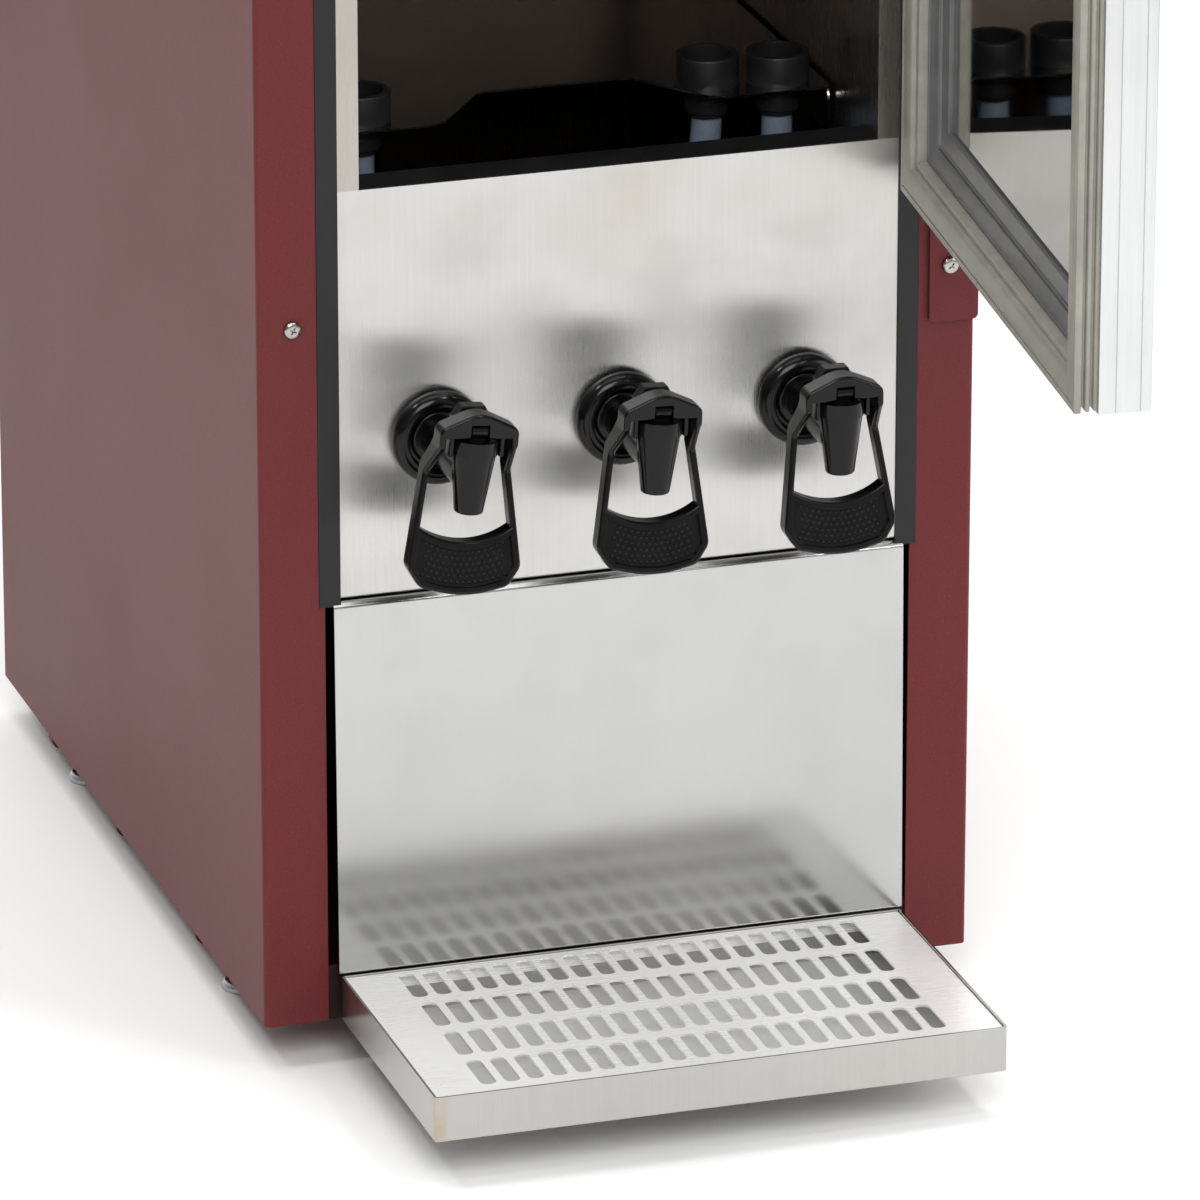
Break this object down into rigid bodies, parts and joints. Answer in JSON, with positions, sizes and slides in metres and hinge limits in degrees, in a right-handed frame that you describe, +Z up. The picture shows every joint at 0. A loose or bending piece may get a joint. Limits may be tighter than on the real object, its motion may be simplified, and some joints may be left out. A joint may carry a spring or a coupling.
{
  "type": "wine dispenser",
  "caption": "Countertop refrigerated wine dispenser: insulated cabinet with glass door, push-back taps, splash panel and lift-out drip tray.",
  "frame": {"origin": "on the counter plane, at the middle of the underside of the front left foot", "axes": "+X to the right of someone facing the taps, +Y to the back, +Z up"},
  "size_m": [0.382, 0.9193, 0.838],
  "materials": {
    "powder_coat": "burgundy textured powder coat",
    "brushed_panel": "vertical fine brushing",
    "splash_steel": "mill-finish stainless",
    "liner_steel": "bright stainless",
    "black_trim": "satin black",
    "tap_black": "gloss black moulding",
    "valve_white": "natural",
    "insulation_foam": "rigid foam",
    "anodised": "silver anodised",
    "gasket_grey": "soft satin",
    "frame_grey": "satin dark grey",
    "door_glass": "tinted",
    "bush_nylon": "natural nylon",
    "zinc": "zinc plated",
    "screw_steel": "bright steel",
    "connector_grey": "dark grey moulding",
    "tube_blue": "blue-grey silicone",
    "compressor_black": "black enamel",
    "grommet_rubber": "moulded",
    "fin_aluminium": "fin stock",
    "fan_plastic": "moulded",
    "copper": "copper tube",
    "control_black": "moulded"
  },
  "bodies": {
    "cabinet": {"side_shell_left": "powder_coat", "side_shell_right": "powder_coat", "top_cover": "powder_coat", "rear_cover": "powder_coat", "base_pan": "powder_coat", "hinge_plate_lower": "powder_coat", "hinge_plate_upper": "powder_coat", "tap_panel": "brushed_panel", "splash_panel": "splash_steel", "tray_bracket": "splash_steel", "liner": "liner_steel", "container_rack": "liner_steel", "evaporator": "liner_steel", "edge_strip_left": "black_trim", "edge_strip_right": "black_trim", "header_strip": "black_trim", "sill_strip": "black_trim", "tap_collar_left": "tap_black", "tap_collar_middle": "tap_black", "tap_collar_right": "tap_black", "tap_body_left": "tap_black", "tap_body_middle": "tap_black", "tap_body_right": "tap_black", "tap_locknuts": "tap_black", "insulation": "insulation_foam", "case_screws": "screw_steel", "connector_left": "connector_grey", "connector_middle": "connector_grey", "connector_right": "connector_grey", "tube_left": "tube_blue", "tube_middle": "tube_blue", "tube_right": "tube_blue", "compressor": "compressor_black", "compressor_grommets": "grommet_rubber", "condenser": "fin_aluminium", "fan_frame": "fan_plastic", "refrigerant_lines": "copper", "inlet_module": "control_black", "thermostat": "control_black"},
    "door": {"door_frame": "anodised", "door_gasket": "gasket_grey", "door_liner_frame": "frame_grey", "door_inner_pane": "door_glass", "door_outer_pane": "door_glass", "hinge_bushes": "bush_nylon"},
    "drip_tray": {"drip_tray": "splash_steel"},
    "drip_grate": {"drip_grate": "splash_steel"},
    "fan_wheel": {"fan_blades": "fan_plastic"},
    "thermostat_knob": {"thermostat_knob": "control_black"},
    "power_rocker": {"power_rocker": "control_black"},
    "lever_left": {"tap_lever_left": "tap_black"},
    "stem_left": {"tap_stem_left": "valve_white"},
    "lever_middle": {"tap_lever_middle": "tap_black"},
    "stem_middle": {"tap_stem_middle": "valve_white"},
    "lever_right": {"tap_lever_right": "tap_black"},
    "stem_right": {"tap_stem_right": "valve_white"},
    "foot_front_left": {"foot_front_left": "zinc"},
    "foot_front_right": {"foot_front_right": "zinc"},
    "foot_rear_left": {"foot_rear_left": "zinc"},
    "foot_rear_right": {"foot_rear_right": "zinc"}
  },
  "joints": [
    {"name": "tap_left", "type": "hinge", "parent": "cabinet", "child": "lever_left", "pos_m": [0.07511, -0.177, 0.36089], "axis": [0.9952, 0, -0.0976], "range_deg": [0, 20], "stiffness_Nm_per_rad": 0.6, "springref_deg": -8.59},
    {"name": "valve_left", "type": "slide", "parent": "cabinet", "child": "stem_left", "axis": [0.0976, 0, 0.9952], "range_m": [0, 0.003]},
    {"name": "tap_middle", "type": "hinge", "parent": "cabinet", "child": "lever_middle", "pos_m": [0.17124, -0.177, 0.36097], "axis": [0.9986, 0, -0.0523], "range_deg": [0, 20], "stiffness_Nm_per_rad": 0.6, "springref_deg": -8.59},
    {"name": "valve_middle", "type": "slide", "parent": "cabinet", "child": "stem_middle", "axis": [0.0523, 0, 0.9986], "range_m": [0, 0.003]},
    {"name": "tap_right", "type": "hinge", "parent": "cabinet", "child": "lever_right", "pos_m": [0.2672, -0.177, 0.361], "axis": [1, 0, 0], "range_deg": [0, 20], "stiffness_Nm_per_rad": 0.6, "springref_deg": -8.59},
    {"name": "valve_right", "type": "slide", "parent": "cabinet", "child": "stem_right", "axis": [0, 0, 1], "range_m": [0, 0.003]},
    {"name": "foot_front_left_turn", "type": "hinge", "parent": "cabinet", "child": "foot_front_left", "pos_m": [0, 0, 0.012], "axis": [0, 0, 1], "continuous": true},
    {"name": "foot_front_right_turn", "type": "hinge", "parent": "cabinet", "child": "foot_front_right", "pos_m": [0.34, 0, 0.012], "axis": [0, 0, 1], "continuous": true},
    {"name": "foot_rear_left_turn", "type": "hinge", "parent": "cabinet", "child": "foot_rear_left", "pos_m": [0, 0.312, 0.012], "axis": [0, 0, 1], "continuous": true},
    {"name": "foot_rear_right_turn", "type": "hinge", "parent": "cabinet", "child": "foot_rear_right", "pos_m": [0.34, 0.312, 0.012], "axis": [0, 0, 1], "continuous": true},
    {"name": "door_hinge", "type": "hinge", "parent": "cabinet", "child": "door", "pos_m": [0.3376, -0.1387, 0.6], "axis": [0, 0, 1], "range_deg": [-84.4, 30]},
    {"name": "tray_slide", "type": "slide", "parent": "cabinet", "child": "drip_tray", "axis": [0, -1, 0], "range_m": [0, 0.15]},
    {"name": "grate_lift", "type": "slide", "parent": "drip_tray", "child": "drip_grate", "axis": [0, 0, 1], "range_m": [0, 0.06]},
    {"name": "fan_spin", "type": "hinge", "parent": "cabinet", "child": "fan_wheel", "pos_m": [0.25, 0.355, 0.1205], "axis": [0, 1, 0], "continuous": true},
    {"name": "thermostat_turn", "type": "hinge", "parent": "cabinet", "child": "thermostat_knob", "pos_m": [0.04, 0.428, 0.165], "axis": [0, 1, 0], "range_deg": [0, 270]},
    {"name": "power_rock", "type": "hinge", "parent": "cabinet", "child": "power_rocker", "pos_m": [0.04, 0.421, 0.1005], "axis": [1, 0, 0], "range_deg": [-16, 0]}
  ],
  "couplings": [
    {"joint": "valve_left", "follows": "tap_left", "m_per_rad": 0.0085},
    {"joint": "valve_middle", "follows": "tap_middle", "m_per_rad": 0.0085},
    {"joint": "valve_right", "follows": "tap_right", "m_per_rad": 0.0085}
  ]
}
